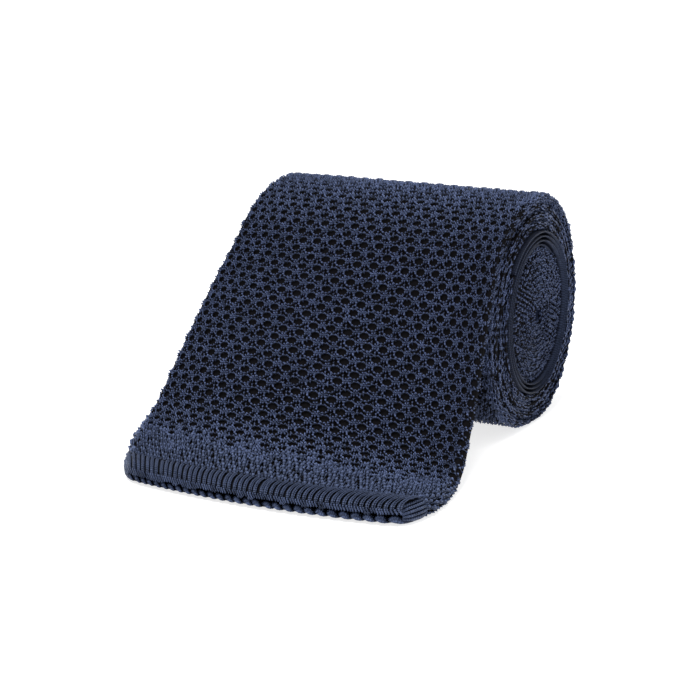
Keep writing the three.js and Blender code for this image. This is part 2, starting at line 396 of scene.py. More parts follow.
def on_tie(across, along, height, stretch=0.0):
    """The place on the rolled tie of a point of the flat cloth.

    across runs from the middle of the outer face, over a side fold and back under the tie.
    """
    at = path_at(along)
    side = np.sign(across)
    distance = np.abs(across)
    face = np.clip(distance / HALF_CLOTH, 0, 1)
    face = face * (1 + stretch * (1 - face ** 2))
    around = np.clip((distance - HALF_CLOTH) / FOLD_ARC, 0, 1) * math.pi
    under = np.clip((distance - FOLD_END) / HALF_CLOTH, 0, 1)
    share = np.where(distance <= HALF_CLOTH, face, 1 - under)
    fold = at["thick"] / 2
    out = (at["half"] - fold) * share + (fold + height) * np.sin(around)
    bulge = at["crown"] * (1 - share ** 2) * (1 - CROWN_LEAN * side * share)
    rise = bulge - fold + (fold + height) * np.cos(around)
    x = at["middle"] + side * out
    y = at["y"] + at["normal_y"] * rise + side * out * at["turned"] - at["bow"] * (1 - share ** 2)
    z = at["z"] + at["normal_z"] * rise - side * share * at["twist"]
    return np.column_stack([x, y, settled(z)])


def section_place(section, around):
    """The place and outward direction at a distance round a hem section."""
    legs = np.hypot(*np.diff(section, axis=0).T)
    fine = np.linspace(0, legs.sum(), 121)
    lengths = np.concatenate([[0], np.cumsum(legs)])
    outline = np.column_stack([np.interp(fine, lengths, section[:, i]) for i in (0, 1)])
    for _ in range(6):
        outline[1:-1] = (outline[:-2] + outline[1:-1] * 2 + outline[2:]) / 4
    run = np.gradient(outline, axis=0)
    run /= np.hypot(run[:, 0], run[:, 1])[:, None]
    back, up, back_run, up_run = (
        np.interp(around, fine, values) for values in (*outline.T, *run.T))
    return back, up, up_run, -back_run


def on_hem(section, across, around, out):
    """The place on the hem of a point of its flat strip: across it, round its section, and outwards."""
    back, up, back_out, up_out = section_place(section, around)
    back = back + back_out * out
    up = up + up_out * out
    share = np.clip(across / (HEM_WIDTH / 2), -1.02, 1.02)
    from_end = np.clip((1 - np.abs(share)) * HEM_WIDTH / 2 / END_ROUNDING, 0, 1)
    drawn_in = CORNER_ROUNDING * (1 - np.sqrt(1 - (1 - from_end) ** 2))
    front = np.clip(1 - back / HEM_DEPTH, 0, 1)
    back = back + drawn_in * front
    edge = path_at(-(FALL_LENGTH - back))
    x = edge["middle"] + share * edge["half"]
    turned = share * PATH["half"][0] * PATH["turned"][0]
    y = PATH["y"][0] + turned + back - PATH["bow"][0] * (1 - share ** 2)
    return np.column_stack([x, y, settled(up)])


# Small helpers for Blender

def deselect():
    if bpy.context.mode != "OBJECT":
        bpy.ops.object.mode_set(mode="OBJECT")
    bpy.ops.object.select_all(action="DESELECT")


def pick(obj):
    deselect()
    obj.select_set(True)
    bpy.context.view_layer.objects.active = obj


def points_of(obj):
    points = np.zeros(len(obj.data.vertices) * 3, np.float32)
    obj.data.vertices.foreach_get("co", points)
    return points.reshape(-1, 3).astype(float)


def put_points(obj, points):
    obj.data.vertices.foreach_set("co", points.astype(np.float32).ravel())
    obj.data.update()


def apply_all(obj):
    pick(obj)
    for modifier in list(obj.modifiers):
        bpy.ops.object.modifier_apply(modifier=modifier.name)


def join(name, pieces):
    deselect()
    for piece in pieces:
        piece.select_set(True)
    bpy.context.view_layer.objects.active = pieces[0]
    if len(pieces) > 1:
        bpy.ops.object.join()
    pieces[0].name = name
    pieces[0].data.name = name
    return pieces[0]


def smooth(obj):
    pick(obj)
    bpy.ops.object.shade_smooth()


def close_ends(obj):
    """Merges the seam, fills the open ends and turns the faces outwards."""
    pick(obj)
    bpy.ops.object.mode_set(mode="EDIT")
    bpy.ops.mesh.select_all(action="SELECT")
    bpy.ops.mesh.remove_doubles(threshold=0.00001)
    bpy.ops.mesh.select_all(action="DESELECT")
    bpy.ops.mesh.select_mode(type="EDGE")
    bpy.ops.mesh.select_non_manifold(extend=False)
    bpy.ops.mesh.fill()
    bpy.ops.mesh.select_all(action="SELECT")
    bpy.ops.mesh.normals_make_consistent(inside=False)
    bpy.ops.mesh.select_mode(type="VERT")
    bpy.ops.object.mode_set(mode="OBJECT")


def repeat(obj, count, offset):
    """Copies of the piece in a row, joined with it."""
    array = obj.modifiers.new("row", "ARRAY")
    array.use_relative_offset = False
    array.use_constant_offset = True
    array.constant_offset_displace = offset
    array.count = count
    apply_all(obj)


def strand(name, points, radius, sides=0, resolution=2, dips=1.0):
    """A length of yarn through a few points, as a mesh with its own UV map: along it, and round it.

    Every second point, where the yarn dips into the cloth, is so much thinner.
    """
    curve = bpy.data.curves.new(name, "CURVE")
    curve.dimensions = "3D"
    curve.bevel_depth = radius
    curve.bevel_resolution = sides
    curve.resolution_u = resolution
    curve.use_fill_caps = True
    spline = curve.splines.new("BEZIER")
    spline.bezier_points.add(len(points) - 1)
    for i, (knot, place) in enumerate(zip(spline.bezier_points, points)):
        knot.co = place
        knot.radius = 1.0 if i % 2 else dips
        knot.handle_left_type = "AUTO"
        knot.handle_right_type = "AUTO"
    yarn = bpy.data.objects.new(name, curve)
    bpy.context.scene.collection.objects.link(yarn)
    pick(yarn)
    bpy.ops.object.convert(target="MESH")
    made = bpy.context.view_layer.objects.active
    length = float(np.linalg.norm(np.diff(np.array(points), axis=0), axis=1).sum())
    measure_uv(made, length * 1000)
    return made


def mark_rise(yarn, height):
    """Stores how far each point of the yarn rises out of the cloth: 0 dipped in, 1 on its face. The
    yarn materials paint shade on dipped yarn with it.
    """
    rise = np.clip((height - DIPPED) / (RISEN - DIPPED), 0, 1)
    attribute = yarn.data.attributes.new("rise", "FLOAT", "POINT")
    attribute.data.foreach_set("value", rise.astype(np.float32))


def measure_uv(yarn, millimetres):
    """Makes the yarn's U run in millimetres along it."""
    layer = yarn.data.uv_layers[0]
    uv = np.zeros(len(layer.data) * 2, np.float32)
    layer.data.foreach_get("uv", uv)
    uv[0::2] *= millimetres
    layer.data.foreach_set("uv", uv)


# The camera, the table and the light

def make_camera():
    bpy.ops.object.camera_add()
    camera = bpy.context.view_layer.objects.active
    camera.name = "camera"
    back = Vector((
        math.sin(CAMERA_AZIMUTH) * math.cos(CAMERA_HEIGHT),
        -math.cos(CAMERA_AZIMUTH) * math.cos(CAMERA_HEIGHT),
        math.sin(CAMERA_HEIGHT),
    ))
    camera.location = CAMERA_TARGET + back * CAMERA_DISTANCE
    camera.rotation_euler = (-back).to_track_quat("-Z", "Y").to_euler()
    camera.data.sensor_width = 36
    camera.data.lens = CAMERA_LENS
    camera.data.clip_start = 0.01
    camera.data.clip_end = 1.5 * TABLE_SIZE
    bpy.context.scene.camera = camera


def make_table():
    """A pale table that glows a little, so that it runs into the background."""
    bpy.ops.mesh.primitive_plane_add(size=TABLE_SIZE)
    table = bpy.context.view_layer.objects.active
    table.name = "table"
    material = bpy.data.materials.new("pale_table")
    material.use_nodes = True
    surface = material.node_tree.nodes["Principled BSDF"]
    surface.inputs["Base Color"].default_value = (*TABLE_GREY, 1)
    surface.inputs["Roughness"].default_value = 0.8
    surface.inputs["Specular IOR Level"].default_value = 0.1
    surface.inputs["Emission Color"].default_value = (1, 1, 1, 1)
    surface.inputs["Emission Strength"].default_value = TABLE_GLOW
    table.data.materials.append(material)


def soft_lamp(name, place, size, power):
    bpy.ops.object.light_add(type="AREA", location=place)
    lamp = bpy.context.view_layer.objects.active
    lamp.name = name
    lamp.data.shape = "DISK"
    lamp.data.size = size
    lamp.data.energy = power
    lamp.rotation_euler = (Vector((0, 0, 0.02)) - Vector(place)).to_track_quat("-Z", "Y").to_euler()


def make_light():
    """An even white room, whiter to the camera than as light, and one large lamp overhead."""
    world = bpy.data.worlds.new("studio")
    world.use_nodes = True
    background = world.node_tree.nodes["Background"]
    background.inputs["Color"].default_value = (1, 1, 1, 1)
    seen = add_node(world.node_tree, "ShaderNodeLightPath").outputs["Is Camera Ray"]
    strength = calculate(world.node_tree, "MULTIPLY_ADD", seen, 1 - ROOM_LIGHT, ROOM_LIGHT)
    world.node_tree.links.new(strength, background.inputs["Strength"])
    bpy.context.scene.world = world
    soft_lamp("overhead_softbox", LAMP_PLACE, LAMP_SIZE, LAMP_POWER)
    bpy.context.scene.view_settings.view_transform = "Standard"


# Materials

def add_node(tree, kind, **values):
    made = tree.nodes.new(kind)
    for name, value in values.items():
        if name in made.bl_rna.properties:
            setattr(made, name, value)
        else:
            made.inputs[name.replace("_", " ")].default_value = value
    return made


def calculate(tree, operation, *values):
    """A math node. Each value is a number or another node's output."""
    made = add_node(tree, "ShaderNodeMath", operation=operation)
    for socket, value in zip(made.inputs, values):
        if isinstance(value, (int, float)):
            socket.default_value = value
        else:
            tree.links.new(value, socket)
    return made.outputs[0]


def new_group(name, inputs, output):
    """A node group with number inputs, one number output and the UV map of its piece."""
    tree = bpy.data.node_groups.new(name, "ShaderNodeTree")
    for title in inputs:
        tree.interface.new_socket(title, in_out="INPUT", socket_type="NodeSocketFloat")
    tree.interface.new_socket(output, in_out="OUTPUT", socket_type="NodeSocketFloat")
    given = tree.nodes.new("NodeGroupInput")
    result = tree.nodes.new("NodeGroupOutput")
    return tree, given, split_uv(tree), result


def split_uv(tree):
    """The piece's own UV map, split into U and V."""
    split = add_node(tree, "ShaderNodeSeparateXYZ")
    tree.links.new(add_node(tree, "ShaderNodeUVMap").outputs["UV"], split.inputs[0])
    return split


def place_group(tree, group, **values):
    placed = tree.nodes.new("ShaderNodeGroup")
    placed.node_tree = group
    for name, value in values.items():
        placed.inputs[name].default_value = value
    return placed.outputs[0]


def ply_twist_group():
    """The two plies of a yarn, twisted round each other: 1 on a ply, 0 between them."""
    tree, given, split, result = new_group("ply_twist", ["Turns"], "Height")
    along = calculate(tree, "MULTIPLY", split.outputs["X"], given.outputs["Turns"])
    lean = calculate(tree, "PINGPONG", split.outputs["Y"], 0.5)
    turned = calculate(tree, "MULTIPLY_ADD", lean, 0.25, along)
    wave = calculate(tree, "SINE", calculate(tree, "MULTIPLY", turned, 2 * math.pi))
    height = calculate(tree, "MULTIPLY", wave, wave)
    tree.links.new(height, result.inputs["Height"])
    return tree


def knit_rows_group():
    """Rows of fine stitches along close-knitted cloth: 1 on a stitch, 0 in the groove between two."""
    tree, given, split, result = new_group("knit_rows", ["Rows", "Stitches"], "Height")
    row = calculate(tree, "MULTIPLY", split.outputs["X"], given.outputs["Rows"])
    stitch = calculate(tree, "MULTIPLY", split.outputs["Y"], given.outputs["Stitches"])
    leaning = calculate(tree, "ADD", stitch, calculate(tree, "PINGPONG", row, 0.5))
    wave = calculate(tree, "SINE", calculate(tree, "MULTIPLY", row, math.pi))
    across = calculate(tree, "ABSOLUTE", wave)
    beads = calculate(tree, "SINE", calculate(tree, "MULTIPLY", leaning, 2 * math.pi))
    total = calculate(tree, "MULTIPLY_ADD", beads, 0.28, calculate(tree, "MULTIPLY", across, 0.72))
    tree.links.new(calculate(tree, "MAXIMUM", total, 0.0), result.inputs["Height"])
    return tree


def knit_holes_group():
    """The openwork as a flat pattern: 0 in its holes, 1 on the yarn between them."""
    tree, given, split, result = new_group("knit_holes", ["Columns", "Rows"], "Yarn")
    row = calculate(tree, "MULTIPLY", split.outputs["Y"], given.outputs["Rows"])
    odd = calculate(tree, "MODULO", calculate(tree, "FLOOR", row), 2.0)
    column = calculate(tree, "MULTIPLY", split.outputs["X"], given.outputs["Columns"])
    column = calculate(tree, "MULTIPLY_ADD", odd, -ROW_SHIFT, column)
    side = calculate(tree, "SUBTRACT", calculate(tree, "FRACT", column), 0.5)
    up = calculate(tree, "SUBTRACT", calculate(tree, "FRACT", row), 0.5)
    up = calculate(tree, "MULTIPLY", up, DRAWN_ROW)
    away = calculate(tree, "SQRT", calculate(
        tree, "ADD", calculate(tree, "MULTIPLY", side, side), calculate(tree, "MULTIPLY", up, up)))
    yarn = calculate(tree, "MULTIPLY", calculate(tree, "SUBTRACT", away, DRAWN_HOLE), DRAWN_SHARPNESS)
    limited = calculate(tree, "MINIMUM", calculate(tree, "MAXIMUM", yarn, 0.0), 1.0)
    tree.links.new(limited, result.inputs["Yarn"])
    return tree


def cloth_material(name, gloss=0.3, sheen=0.06):
    """The start of a silky material: its tree, its shader and its Object coordinates."""
    material = bpy.data.materials.new(name)
    material.use_nodes = True
    tree = material.node_tree
    surface = tree.nodes["Principled BSDF"]
    surface.inputs["Sheen Weight"].default_value = sheen
    surface.inputs["Sheen Roughness"].default_value = 0.4
    surface.inputs["Sheen Tint"].default_value = (0.5, 0.65, 1.0, 1)
    surface.inputs["Specular IOR Level"].default_value = gloss
    surface.inputs["Specular Tint"].default_value = (0.62, 0.74, 1.0, 1)
    coords = add_node(tree, "ShaderNodeTexCoord")
    return material, tree, surface, coords.outputs["Object"]


def noise(tree, coords, scale, detail):
    made = add_node(tree, "ShaderNodeTexNoise", Scale=scale, Detail=detail)
    tree.links.new(coords, made.inputs["Vector"])
    return made.outputs[0]


def two_tone(tree, value, dark, light, low, high):
    ramp = add_node(tree, "ShaderNodeValToRGB")
    ramp.color_ramp.elements[0].position = low
    ramp.color_ramp.elements[0].color = (*dark, 1)
    ramp.color_ramp.elements[1].position = high
    ramp.color_ramp.elements[1].color = (*light, 1)
    tree.links.new(value, ramp.inputs[0])
    return ramp.outputs[0]


def relief(tree, height, strength, distance, normal=None):
    bump = add_node(tree, "ShaderNodeBump", Strength=strength, Distance=distance)
    tree.links.new(height, bump.inputs["Height"])
    if normal is not None:
        tree.links.new(normal, bump.inputs["Normal"])
    return bump.outputs[0]


def fibre_finish(tree, surface, coords, roughness):
    """Fine fibres: they vary the roughness and roughen the surface a little."""
    fibres = noise(tree, coords, FIBRES, 3.0)
    rough = add_node(tree, "ShaderNodeMapRange")
    rough.inputs["To Min"].default_value = roughness - 0.12
    rough.inputs["To Max"].default_value = roughness + 0.12
    tree.links.new(fibres, rough.inputs["Value"])
    tree.links.new(rough.outputs[0], surface.inputs["Roughness"])
    return relief(tree, fibres, 0.35, 0.00003)


def yarn_material(name, dark, light, turns, twist_depth, roughness=0.42):
    """Silky twisted yarn, in patches, with painted shade between its plies and where it dips."""
    material, tree, surface, coords = cloth_material(name)
    twist = place_group(tree, PLY_TWIST, Turns=turns)
    patches = calculate(tree, "MULTIPLY_ADD", noise(tree, coords, YARN_PATCHES, 2.0), 1.2, -0.55)
    rise = add_node(tree, "ShaderNodeAttribute", attribute_name="rise").outputs["Fac"]
    # painted shade between the plies and, through the rise, where the yarn dips into the cloth
    tone = calculate(tree, "MULTIPLY_ADD", twist, 0.6, calculate(tree, "ADD", patches, 0.25))
    tone = calculate(tree, "MULTIPLY", tone, rise)
    tree.links.new(two_tone(tree, tone, dark, light, 0.05, 0.95), surface.inputs["Base Color"])
    fine = fibre_finish(tree, surface, coords, roughness)
    tree.links.new(relief(tree, twist, 0.9, twist_depth, fine), surface.inputs["Normal"])
    return material


def from_middle(tree):
    """How far round the tube from the middle of the outer face: 0 there, 0.5 beneath it."""
    return calculate(tree, "ABSOLUTE", calculate(tree, "SUBTRACT", split_uv(tree).outputs["X"], 0.5))


def neck_material(name, dark, light):
    """Close, smooth knit in fine rows, with painted shade in the grooves between them and, away from
    its folds, in the shade of its own turns.
    """
    material, tree, surface, coords = cloth_material(name, gloss=0.08, sheen=0.0)
    rows = place_group(tree, KNIT_ROWS, Rows=CLOTH_ROUND / NECK_ROW, Stitches=NECK_STITCHES)
    from_fold = calculate(tree, "ABSOLUTE", calculate(
        tree, "SUBTRACT", from_middle(tree), (HALF_CLOTH + FOLD_ARC / 2) / CLOTH_ROUND))
    unlit = calculate(tree, "MAXIMUM", calculate(
        tree, "SUBTRACT", from_fold, NECK_LIT / CLOTH_ROUND), 0.0)
    shade = calculate(tree, "MINIMUM", calculate(tree, "MULTIPLY", unlit, CLOTH_ROUND / NECK_LIT), 1.0)
    # painted shade in the grooves between the rows
    tone = calculate(tree, "MULTIPLY_ADD", noise(tree, coords, NECK_PATCHES, 2.0), 0.5, rows)
    tone = calculate(tree, "MULTIPLY", tone, calculate(tree, "MULTIPLY_ADD", shade, -0.5, 1.0))
    tree.links.new(two_tone(tree, tone, dark, light, 0.3, 1.15), surface.inputs["Base Color"])
    fine = fibre_finish(tree, surface, coords, 0.42)
    tree.links.new(relief(tree, rows, 0.9, 0.0001, fine), surface.inputs["Normal"])
    return material


def ground_material(name, length, dark, light):
    """The inside of the tube, its navy darkened by painted shade to nearly black, and its underside,
    where the openwork is drawn over that painted shade.
    """
    material, tree, surface, coords = cloth_material(name, gloss=0.03, sheen=0.0)
    pattern = place_group(
        tree, KNIT_HOLES, Columns=CLOTH_ROUND / HOLE_SPACING, Rows=length / (ROW_REPEAT / 2))
    beneath = calculate(tree, "GREATER_THAN", from_middle(tree), 0.5 * UNDERSIDE_FROM)
    yarn = calculate(tree, "MULTIPLY", pattern, beneath)
    fibres = noise(tree, coords, GROUND_FIBRES, 3.0)
    tone = calculate(tree, "MULTIPLY", yarn, calculate(tree, "ADD", fibres, 0.35))
    tree.links.new(two_tone(tree, tone, dark, light, 0.05, 0.95), surface.inputs["Base Color"])
    surface.inputs["Roughness"].default_value = 0.8
    tree.links.new(relief(tree, tone, 0.8, 0.0003), surface.inputs["Normal"])
    return material


def plain_ground_material(name, dark, light):
    """The inside of the hem, its navy darkened by painted shade to nearly black between its yarns."""
    material, tree, surface, coords = cloth_material(name, gloss=0.08, sheen=0.0)
    fibres = noise(tree, coords, GROUND_FIBRES, 3.0)
    tree.links.new(two_tone(tree, fibres, dark, light, 0.3, 0.8), surface.inputs["Base Color"])
    surface.inputs["Roughness"].default_value = 0.8
    tree.links.new(relief(tree, fibres, 0.8, 0.0002), surface.inputs["Normal"])
    return material


# The ground cloth: a closed flat tube, wrapped onto the path

def ground_cloth(name, start, end, sink, columns=64, step=0.0015):
    """A closed flat tube between two places along the tie, this deep below the tie's face."""
    length = end - start
    rows = max(2, round(length / step))
    deselect()
    bpy.ops.mesh.primitive_grid_add(x_subdivisions=columns, y_subdivisions=rows, size=1)
    cloth = bpy.context.view_layer.objects.active
    cloth.name = name
    cloth.data.name = name
    flat = points_of(cloth)
    across = flat[:, 0] * CLOTH_ROUND
    # more columns lie on the side folds, where the cloth turns sharply
    drawn = np.interp(
        np.abs(across),
        [0, HALF_CLOTH * 0.94, HALF_CLOTH + FOLD_ARC * 1.2, CLOTH_ROUND / 2],
        [0, HALF_CLOTH, FOLD_END, CLOTH_ROUND / 2],
    )
    across = np.sign(across) * drawn
    along = start + (flat[:, 1] + 0.5) * length
    folded = np.clip((np.abs(across) - HALF_CLOTH) / FOLD_ARC, 0, 1)
    outermost = np.clip(1 - (along - along_at_turn(OPENWORK_TO)) / SINK_EASE, 0, 1)
    depth = UNDER_SINK + (sink - UNDER_SINK) * (1 - folded) * outermost
    depth = depth * (1 - FOLD_FILL * np.sin(math.pi * folded))
    put_points(cloth, on_tie(across, along, -depth))
    close_ends(cloth)
    smooth(cloth)
    return cloth


# The openwork

def cell_point(a, e, height):
    """A point in units of the hole spacing and the row repeat, in metres."""
    return (a * HOLE_SPACING, e * ROW_REPEAT, height)


def wavy(places, low, high):
    """A strand that runs through these places, alternately down in the cloth and up on its face."""
    return [(a, e, high if i % 2 else low) for i, (a, e) in enumerate(places)]


def rim(stitches):
    """The ring of small stitches round a hole. It starts and ends at the hole's left side."""
    turns = np.linspace(math.pi, 3 * math.pi, 2 * stitches + 1)
    places = [(RIM_REACH[0] * math.cos(turn), RIM_REACH[1] * math.sin(turn)) for turn in turns]
    return (RIM_RADIUS, wavy(places, -0.00042, 0.0))


def knot_strand(lean, height):
    """One of the strands that cross in the knot at the right of a hole."""
    places = []
    for reach in np.linspace(-KNOT_REACH, KNOT_REACH, 7):
        places.append((
            KNOT_MIDDLE[0] + reach * math.cos(lean) / HOLE_SPACING,
            KNOT_MIDDLE[1] + reach * math.sin(lean) / ROW_REPEAT))
    return (KNOT_RADIUS, wavy(places, height - 0.0004, height))


# The strand that links a knot with the row before
LINK = (KNOT_RADIUS, wavy(
    [(0.49, -0.10), (0.50, -0.17), (0.51, -0.24), (0.54, -0.31), (0.57, -0.38)], -0.0005, -0.0001))
# One cell of the openwork: plainer where it doesn't show in the main view
PLAIN_CELL = [rim(7), knot_strand(math.radians(70), 0.0001)]
FULL_CELL = [rim(9), LINK]
for lean in (15, 75, 135):
    FULL_CELL.append(knot_strand(math.radians(lean), 0.00018))

# The two legs of a small stitch where the openwork closes up behind the hem
TIGHT_CELL = [
    (0.00029, [(-0.11, 0.20, -0.00065), (-0.06, -0.02, 0.00020), (-0.01, -0.21, -0.00065)]),
    (0.00019, [(0.14, 0.20, -0.00065), (0.10, 0.03, 0.00000), (0.06, -0.17, -0.00065)]),
]
# A stitch of the side folds: two strands that part round a narrow slit and meet again
EDGE_CELL = [
    (0.00017, [(0.0, -0.24, -0.0002), (0.125, 0.0, 0.00004), (0.0, 0.24, -0.0002)]),
    (0.00017, [(0.0, -0.24, -0.0002), (-0.125, 0.0, 0.00004), (0.0, 0.24, -0.0002)]),
]
# A stitch of the core's folds: one short arch
CORE_CELL = [
    (0.00021, [(-0.05, -0.14, -0.00045), (0.0, -0.01, 0.00016), (0.05, 0.13, -0.00045)]),
]


def stitch_cell(name, strands):
    made = []
    for radius, points in strands:
        places = [cell_point(*point) for point in points]
        made.append(strand(name, places, radius, resolution=1, dips=0.65))
    return join(name, made)


def knit_field(
        name, strands, spacing, across, along, keep, jitter,
        stretch=0.0, lift=0.0, drift=0.0, narrow=1.0):
    """A field of stitches in staggered rows, laid out flat and then wrapped onto the tie.

    keep(x, y, random) says which cells stay. With a drift, each row is shifted from the last one.
    """
    cell = stitch_cell(name, strands)
    flat = points_of(cell)
    flat[:, 0] *= narrow
    put_points(cell, flat)
    size = len(cell.data.vertices)
    column_pitch, row_pitch = spacing
    first = math.floor(across[0] / column_pitch)
    columns = math.ceil(across[1] / column_pitch) - first + 1
    low = math.floor(along[0] / row_pitch)
    rows = math.ceil(along[1] / row_pitch) - low + 1
    repeat(cell, columns, (column_pitch, 0, 0))
    repeat(cell, rows, (0, row_pitch, 0))
    index = np.arange(columns * rows)
    row = index // columns + low
    shift = np.where(row % 2 == 0, 0.0, ROW_SHIFT) * column_pitch
    if drift:
        shift = row * drift % 1 * column_pitch
    random = rng_for(name)
    moved = random.normal(0, 1, (len(index), 3)) * jitter
    flat = points_of(cell)
    flat[:, 0] += np.repeat(first * column_pitch + shift + moved[:, 0], size)
    flat[:, 1] += np.repeat(low * row_pitch + moved[:, 1], size)
    flat[:, 2] += np.repeat(moved[:, 2] + lift, size)
    centre_x = (index % columns + first) * column_pitch + shift
    centre_y = row * row_pitch
    wanted = (centre_x >= across[0]) & (centre_x <= across[1])
    wanted &= (centre_y >= along[0]) & (centre_y <= along[1])
    wanted &= keep(centre_x, centre_y, random.random(len(index)))
    flat = keep_points(cell, flat, np.repeat(wanted, size))
    mark_rise(cell, flat[:, 2])
    folded = np.clip((np.abs(flat[:, 0]) - HALF_CLOTH) / FOLD_ARC, 0, 1)
    flat[:, 2] -= FOLD_SINK * np.sin(math.pi * folded)
    put_points(cell, on_tie(flat[:, 0], flat[:, 1], flat[:, 2], stretch))
    smooth(cell)
    return cell


def keep_points(obj, flat, wanted):
    """Deletes the points that aren't wanted, and returns the flat places of the others."""
    pick(obj)
    bpy.ops.object.mode_set(mode="EDIT")
    bpy.ops.mesh.select_all(action="DESELECT")
    bpy.ops.object.mode_set(mode="OBJECT")
    obj.data.vertices.foreach_set("select", ~wanted)
    bpy.ops.object.mode_set(mode="EDIT")
    bpy.ops.mesh.delete(type="VERT")
    bpy.ops.object.mode_set(mode="OBJECT")
    return flat[wanted]


def everywhere(x, y, chance):
    return np.ones(len(x), bool)


def loose_knit(x, y, chance):
    """The openwork thins out towards the hem."""
    closing = np.clip((y + BLADE_END) / TIGHT_KNIT, 0, 1)
    return closing > LOOSE_KEPT[0] + LOOSE_KEPT[1] * chance


def tight_knit(x, y, chance):
    """The tight stitches thin out towards the openwork."""
    closing = np.clip((y + BLADE_END) / TIGHT_KNIT, 0, 1)
    return closing < TIGHT_KEPT[0] + TIGHT_KEPT[1] * chance


def folds_only(x, y, chance):
    return np.abs(x) > HALF_CLOTH


def openwork(name, strands, along, keep=everywhere):
    """Openwork over the outer face and both side folds."""
    face = HALF_CLOTH + FOLD_ARC * 0.9
    return knit_field(
        name, strands, (HOLE_SPACING, ROW_REPEAT / 2), (-face, face), along, keep,
        KNIT_JITTER, MIDDLE_STRETCH)


def fold_stitches(name, strands, spacing, side, along, reach):
    """Stitches along one side fold of the wound tie, where its end shows."""
    inner = HALF_CLOTH - reach
    outer = FOLD_END + PAST_FOLD
    across = (inner, outer) if side > 0 else (-outer, -inner)
    return knit_field(
        name, strands, spacing, across, along, everywhere,
        FOLD_JITTER, lift=FOLD_LIFT)


# The hem

def hem_bar(name, section, sink, pulled_in):
    """The ground of the welt or the lip: a closed bar a little inside its yarn."""
    round_section = np.vstack([section, section[:1]])
    whole = float(np.hypot(*np.diff(round_section, axis=0).T).sum())
    deselect()
    bpy.ops.mesh.primitive_grid_add(x_subdivisions=2 * HEM_RIBS, y_subdivisions=40, size=1)
    bar = bpy.context.view_layer.objects.active
    bar.name = name
    bar.data.name = name
    flat = points_of(bar)
    around = (flat[:, 1] + 0.5) * whole
    across = flat[:, 0] * (HEM_WIDTH - 2 * pulled_in)
    put_points(bar, on_hem(round_section, across, around, -sink))
    close_ends(bar)
    return bar


def spread_across(piece, count, pitch):
    """Copies of a piece side by side across the whole hem, centred on its middle."""
    size = len(piece.data.vertices)
    repeat(piece, count, (pitch, 0, 0))
    flat = points_of(piece)
    flat[:, 0] -= (count - 1) * pitch / 2
    return flat, size


# The strands of one rib: (offset, height above the welt). Their ends dip into the welt.
RIB_STRANDS = [(-0.00024, -0.00014), (0.0, 0.00004), (0.00024, -0.00010)]
RIB_RADIUS = 0.00014
RIB_DIP = 0.0003
RIB_LIGHTER = 0.0002  # the ribs' strands are shaded as if they lay so much higher


def hem_ribs():
    """Each rib of the welt is three twisted strands side by side, with a groove to the next rib."""
    strands = []
    for offset, height in RIB_STRANDS:
        reach = np.linspace(RIB_START, RIB_END, 7)
        points = [(offset, -along, height) for along in reach]
        points[0] = (offset, -reach[0], height - RIB_DIP)
        points[-1] = (offset, -reach[-1], height - RIB_DIP)
        strands.append(strand("rib_strand", points, RIB_RADIUS))
    ribs = join("hem_ribs", strands)
    flat, size = spread_across(ribs, HEM_RIBS, RIB_PITCH)
    random = rng_for("hem_ribs")
    flat[:, 0] += np.repeat(random.normal(0, HEM_JITTER, HEM_RIBS), size)
    flat[:, 2] += np.repeat(random.normal(0, HEM_JITTER, HEM_RIBS), size)
    mark_rise(ribs, flat[:, 2] + RIB_LIGHTER)
    put_points(ribs, on_hem(WELT, flat[:, 0], -flat[:, 1], flat[:, 2]))
    smooth(ribs)
    return ribs


# The rows of stitches below the ribs: (distance round the welt's section, shift in half ribs)
WELT_ROWS = [(0.0070, 0.0), (0.0076, 0.5), (0.0082, 0.0)]


def welt_stitches():
    """Rows of small stitches where the welt turns under. The lowest row has dark gaps."""
    stitches = []
    for around, step in WELT_ROWS:
        for lean in (-1, 1):
            middle = (lean * 0.25 + step / 2) * RIB_PITCH
            points = [
                (middle - 0.00016, -(around - 0.00034), -0.00030),
                (middle, -around, 0.00006),
                (middle + 0.00014, -(around + 0.00036), -0.00030),
            ]
            stitches.append(strand("welt_stitch", points, STITCH_RADIUS))
    row = join("welt_stitches", stitches)
    flat, size = spread_across(row, HEM_RIBS, RIB_PITCH)
    random = rng_for("welt_stitches")
    flat[:, 0] += np.repeat(random.normal(0, STITCH_JITTER, HEM_RIBS), size)
    flat[:, 2] += np.repeat(random.normal(0, STITCH_JITTER, HEM_RIBS), size)
    lowest = -flat[:, 1] > LOWEST_ROW
    share = np.repeat(np.linspace(0, 1, HEM_RIBS), size)
    missing = np.repeat(random.random(HEM_RIBS), size) < 0.25 + 0.75 * share
    flat = keep_points(row, flat, ~(lowest & missing))
    mark_rise(row, flat[:, 2])
    put_points(row, on_hem(WELT, flat[:, 0], -flat[:, 1], flat[:, 2]))
    smooth(row)
    return row


# One bump of the lip: slanting strands (offset, height above the lip) that roll over its edge
LIP_STRANDS = [
    (-0.00066, -0.00030),
    (-0.00042, 0.00000),
    (-0.00016, 0.00016),
    (0.00010, 0.00018),
    (0.00036, 0.00006),
    (0.00060, -0.00024),
]


